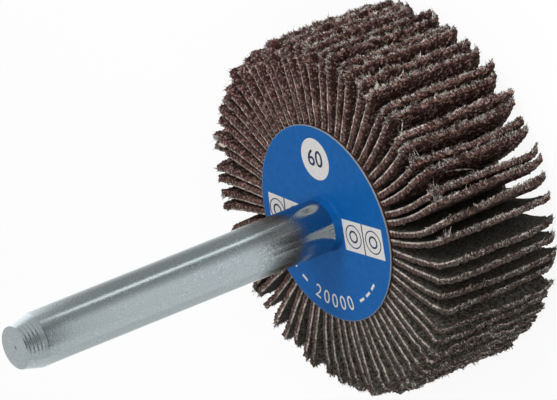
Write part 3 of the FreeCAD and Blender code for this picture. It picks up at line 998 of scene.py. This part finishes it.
class FLAPWHEEL_OT_label_print(bpy.types.Operator):
    """Print the label: a grit number, two plates of plain rings, and a plain number on the lower arc"""

    bl_idname = "flapwheel.label_print"
    bl_label = "Label print"

    def execute(self, context):
        sizes, colours = settings(context)
        white = PrintLayer(sizes.print_height)
        ink = PrintLayer(2 * sizes.print_height)
        white.dot(GRIT_SPOT_RADIUS, label_matrix(0, GRIT_SPOT_UP))
        ink.digits("60", GRIT_HEIGHT, label_matrix(0, GRIT_SPOT_UP), 1.02, 0.025 * MM)
        for side, up, turn, shift in PLATES:
            plate = label_matrix(side * PLATE_RIGHT, up, turn=turn)
            white.bar(PLATE_WIDTH, PLATE_HEIGHT, plate)
            ink.bar(DIVIDER_WIDTH, PLATE_HEIGHT, plate @ Matrix.Translation((shift, 0, 0)))
            for half in (-1, 1):
                middle = (shift + half * PLATE_WIDTH / 2) / 2
                spot = plate @ Matrix.Translation((middle, 0, 0))
                for radius, width in RINGS:
                    ink.ring(radius, width, spot)
        for step, digit in enumerate("20000"):
            white.digits(digit, ARC_HEIGHT, arc_matrix(ARC_START + ARC_STEP * step), 0.95)
        for angle in ARC_BARS:
            white.bar(ARC_BAR_WIDTH, ARC_BAR_HEIGHT, arc_matrix(angle))
        white.finish("print_white", finish("print_white", make_print, "print_white", colours.label_white))
        ink.finish("print_ink", finish("print_ink", make_print, "print_ink", colours.label_ink))
        return {"FINISHED"}


class FLAPWHEEL_OT_core(bpy.types.Operator):
    """Give the cast core and the plain back disc their finish"""

    bl_idname = "flapwheel.core"
    bl_label = "Core and back disc"

    def execute(self, context):
        colours = context.scene.flap_wheel_colours
        for node, name, maker in (
            ("resin_core", "core_resin", make_core_resin),
            ("back_disc", "fibre_card", make_fibre_card),
        ):
            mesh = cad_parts[node].data
            mesh.materials.clear()
            mesh.materials.append(finish(name, maker, colours))
        return {"FINISHED"}


# Pulled threads of yarn, placed by (azimuth in degrees, radius and height in millimetres).
THREADS = (
    ((293.6, 19.2, 16.0), (292.0, 20.3, 15.3), (290.6, 20.6, 15.0), (288.2, 20.3, 15.4), (286.2, 19.3, 15.8)),
    ((271.6, 18.3, 11.9), (270.9, 19.3, 11.2), (269.6, 19.2, 9.6), (268.9, 18.4, 8.4), (267.4, 17.7, 7.6)),
)


# How much thicker than a fibre a thread is, its points for each knot, and a direction that none runs along.
THREAD_GROWTH = 1.3
THREAD_STEPS = 8
ACROSS_THREADS = (0.3, 0.2, 0.9)


def round_axis(azimuth, radius, height):
    """A place given round the axis, in metres."""
    angle = math.radians(azimuth)
    return np.array([radius * math.cos(angle), radius * math.sin(angle), height]) * MM


def pulled_thread(knots, radius, random):
    """Points and faces of a thin thread along smoothed knots."""
    knots = np.array([round_axis(*knot) for knot in knots])
    steps = np.linspace(0, len(knots) - 1, THREAD_STEPS * len(knots))
    line = np.stack([np.interp(steps, range(len(knots)), knots[:, axis]) for axis in range(3)], axis=1)
    for _ in range(3):
        line[1:-1] = 0.5 * line[1:-1] + 0.25 * (line[:-2] + line[2:])
    line += random.normal(size=line.shape) * 0.02 * MM
    along = np.gradient(line, axis=0)
    aside = unit(np.cross(along, ACROSS_THREADS))
    over = unit(np.cross(along, aside))
    wide = radius * random.uniform(0.7, 1.2, (len(line), 1))
    aside, over = wide * aside, wide * over
    points = np.stack([line + aside, line + over, line - aside, line - over], axis=1)
    faces = grid_faces(len(line), 4, False, True).tolist()
    last = 4 * (len(line) - 1)
    return points.reshape(-1, 3).tolist(), faces + [[0, 1, 2, 3], [last + 3, last + 2, last + 1, last]]


class FLAPWHEEL_OT_loose_yarn(bpy.types.Operator):
    """Lay the pulled threads of yarn across the flaps' edges"""

    bl_idname = "flapwheel.loose_yarn"
    bl_label = "Loose yarn"

    def execute(self, context):
        sizes, colours = settings(context)
        random = np.random.default_rng(SEED + FLAPS)
        points, faces = [], []
        for knots in THREADS:
            more, joined = pulled_thread(knots, THREAD_GROWTH * sizes.fibre_radius, random)
            faces += [[len(points) + point for point in face] for face in joined]
            points += more
        piece = new_piece("loose_yarn", points, faces, [finish("cloth_fibre", make_cloth_fibre, colours)])
        return {"FINISHED"}


class FLAPWHEEL_OT_flaps(bpy.types.Operator):
    """Cut, bend and fray the cloth flaps"""

    bl_idname = "flapwheel.flaps"
    bl_label = "Cloth flaps"

    def execute(self, context):
        for pair in range(PAIRS):
            make_flap_pair(context, pair)
        return {"FINISHED"}


# The camera stands where the photograph's did, measured from the middle of the back disc's face.
CAMERA_PLACE = (4.22 * MM, -503.3 * MM, 335.7 * MM)
CAMERA_RIGHT = (-0.3685, -0.4930, -0.7881)
CAMERA_UP = (0.9296, -0.1954, -0.3124)
CAMERA_LENS = 356.7
SENSOR_WIDTH = 36.0

# What the shank's wall mirrors close by and its taper further off, as (azimuth in degrees, brightness).
MIRRORED_NEAR = (
    *((0, 0.44), (20, 0.44), (42, 0.64), (66, 1.05), (90, 1.5), (104, 1.35), (126, 0.74), (160, 0.84)),
    *((205, 1.0), (275, 1.02), (294, 0.6), (306, 0.45), (321, 0.42), (327, 1.9), (331, 1.9), (337, 0.45)),
)
MIRRORED_FAR = (
    *((0, 0.8), (12, 1.5), (30, 1.9), (75, 1.8), (95, 1.0), (200, 0.8)),
    *((214, 0.75), (228, 0.3), (298, 0.26), (316, 0.6), (350, 0.7)),
)

# How far out the near reflections end and the far ones begin, in millimetres from the axis.
NEAR_END = 90.0
FAR_START = 120.0


def add_plane(name, size, material):
    mesh = bpy.data.meshes.new(name)
    half = size / 2
    corners = [(-half, -half, 0), (half, -half, 0), (half, half, 0), (-half, half, 0)]
    mesh.from_pydata(corners, [], [(0, 1, 2, 3)])
    mesh.materials.append(material)
    plane = new_object(name, mesh)
    return plane


# The share of the floor that the camera sees as plain white.
FLOOR_GLOW = 0.9


def make_floor_paint(colours):
    """A white floor that keeps a faint shadow."""
    material, tree, shader = new_material("floor_paint", Roughness=0.9, Specular_IOR_Level=0.0)
    shader.inputs["Base Color"].default_value = (*colours.floor, 1.0)
    glow = add_node(tree, "ShaderNodeEmission", {"Color": (1, 1, 1, 1), "Strength": 1.0})
    seen = add_node(tree, "ShaderNodeLightPath").outputs["Is Camera Ray"]
    share = times(tree, seen, FLOOR_GLOW)
    mixed = add_node(tree, "ShaderNodeMixShader", {0: share, 1: shader.outputs[0], 2: glow.outputs[0]})
    tree.links.new(mixed.outputs[0], tree.nodes["Material Output"].inputs["Surface"])
    return material


def round_the_axis(tree, point, levels):
    """A brightness that changes with the azimuth of a point."""
    azimuth = add_node(tree, "ShaderNodeTexGradient", {0: point}, gradient_type="RADIAL").outputs["Fac"]
    stops = sorted((((angle + 180) % 360) / 360, (level,) * 3) for angle, level in levels)
    return ramp(tree, azimuth, stops)


def make_mirrored_card():
    """A reflector that only gloss sees, brighter and darker round the wheel's axis."""
    material = bpy.data.materials.new("mirrored_card")
    material.use_nodes = True
    tree = material.node_tree
    tree.nodes.clear()
    point = object_point(tree)
    distance = add_node(tree, "ShaderNodeVectorMath", {0: point}, operation="LENGTH").outputs["Value"]
    near, far = [round_the_axis(tree, point, levels) for levels in (MIRRORED_NEAR, MIRRORED_FAR)]
    shown = blend_by(tree, distance, NEAR_END, FAR_START, near, far)
    glow = add_node(tree, "ShaderNodeEmission", {"Color": shown, "Strength": 1.0})
    output = add_node(tree, "ShaderNodeOutputMaterial")
    tree.links.new(glow.outputs[0], output.inputs["Surface"])
    material.cycles.emission_sampling = "NONE"
    return material


# How bright the studio's ends are in gloss, and where the dark one lies, behind the photographer.
DARK_END = 0.12
LIGHT_END = 0.84
DARK_END_TOWARDS = (0.0, -0.85, 0.53)


def make_studio_world(ambient):
    """An even world, shown white to the camera and in gloss, apart from the studio's dark end."""
    world = bpy.data.worlds.new("studio")
    world.use_nodes = True
    tree = world.node_tree
    background = tree.nodes["Background"]
    background.inputs["Color"].default_value = (1, 1, 1, 1)
    rays = add_node(tree, "ShaderNodeLightPath").outputs
    shown = calc(tree, "MAXIMUM", rays["Is Glossy Ray"], rays["Is Transmission Ray"])
    towards = add_node(tree, "ShaderNodeTexCoord").outputs["Generated"]
    facing = dot_product(tree, towards, DARK_END_TOWARDS)
    mirrored = scaled(tree, spread(tree, facing, 0.95, 0.8), LIGHT_END - DARK_END, DARK_END)
    lit = scaled(tree, shown, calc(tree, "SUBTRACT", mirrored, ambient), ambient)
    level = calc(tree, "MAXIMUM", rays["Is Camera Ray"], lit)
    tree.links.new(level, background.inputs["Strength"])
    return world


def add_lamp(name, place, size, power):
    """A soft square lamp that looks at the wheel."""
    light = bpy.data.lights.new(name, "AREA")
    light.size = size
    light.energy = power
    lamp = new_object(name, light)
    lamp.location = place
    aim = Vector((0, 0, 15 * MM)) - Vector(place)
    lamp.rotation_euler = aim.to_track_quat("-Z", "Y").to_euler()
    lamp.visible_glossy = False


# The two lamps, as (name, place, side of the square, power in watts), and the world's even level.
LAMPS = (("key", (0.50, -0.34, 0.30), 0.35, 3.45), ("front", (-0.02, -0.58, 0.46), 0.40, 3.2))
AMBIENT = 0.36
FLOOR_SIZE = 4.0
MIRRORED_CARD_SIZE = 3.0


class FLAPWHEEL_OT_stage(bpy.types.Operator):
    """Set up the floor, the lamps, the world and the camera"""

    bl_idname = "flapwheel.stage"
    bl_label = "Stage"

    def execute(self, context):
        scene, colours = context.scene, context.scene.flap_wheel_colours
        floor = add_plane("floor", FLOOR_SIZE, make_floor_paint(colours))
        floor.visible_glossy = False
        card = add_plane("mirrored_card", MIRRORED_CARD_SIZE, make_mirrored_card())
        card.visible_camera = False
        card.visible_diffuse = False
        card.visible_shadow = False
        card.visible_transmission = False
        for lamp in LAMPS:
            add_lamp(*lamp)
        scene.world = make_studio_world(AMBIENT)
        camera = bpy.data.cameras.new("photograph")
        camera.lens = CAMERA_LENS
        camera.sensor_width = SENSOR_WIDTH
        camera.clip_start = 0.05
        view = new_object("photograph", camera)
        right, up = Vector(CAMERA_RIGHT).normalized(), Vector(CAMERA_UP).normalized()
        turned = Matrix((right, up, right.cross(up))).transposed()
        view.matrix_world = Matrix.Translation(CAMERA_PLACE) @ turned.to_4x4()
        scene.camera = view
        scene.view_settings.view_transform = "Standard"
        return {"FINISHED"}


class FLAPWHEEL_PT_sidebar(bpy.types.Panel):
    """Steps that dress the flap wheel"""

    bl_idname = "FLAPWHEEL_PT_sidebar"
    bl_label = "Flap Wheel"
    bl_space_type = "VIEW_3D"
    bl_region_type = "UI"
    bl_category = "Flap Wheel"

    def draw(self, context):
        layout = self.layout
        for operator in OPERATORS:
            layout.operator(operator.bl_idname)
        scene = context.scene
        for title, group in (("Sizes", scene.flap_wheel_sizes), ("Colours", scene.flap_wheel_colours)):
            box = layout.box()
            box.label(text=title)
            for name in group.__annotations__:
                box.prop(group, name)


OPERATORS = (
    FLAPWHEEL_OT_shank,
    FLAPWHEEL_OT_label,
    FLAPWHEEL_OT_label_print,
    FLAPWHEEL_OT_core,
    FLAPWHEEL_OT_flaps,
    FLAPWHEEL_OT_loose_yarn,
    FLAPWHEEL_OT_stage,
)
CLASSES = (FlapWheelSizes, FlapWheelColours, *OPERATORS, FLAPWHEEL_PT_sidebar)


def register():
    for item in CLASSES:
        bpy.utils.register_class(item)
    bpy.types.Scene.flap_wheel_sizes = bpy.props.PointerProperty(type=FlapWheelSizes)
    bpy.types.Scene.flap_wheel_colours = bpy.props.PointerProperty(type=FlapWheelColours)


def unregister():
    del bpy.types.Scene.flap_wheel_colours
    del bpy.types.Scene.flap_wheel_sizes
    for item in reversed(CLASSES):
        bpy.utils.unregister_class(item)


def main():
    register()
    bpy.ops.flapwheel.shank()
    bpy.ops.flapwheel.label()
    bpy.ops.flapwheel.label_print()
    bpy.ops.flapwheel.core()
    bpy.ops.flapwheel.flaps()
    bpy.ops.flapwheel.loose_yarn()
    bpy.ops.flapwheel.stage()


if __name__ == "__main__":
    main()
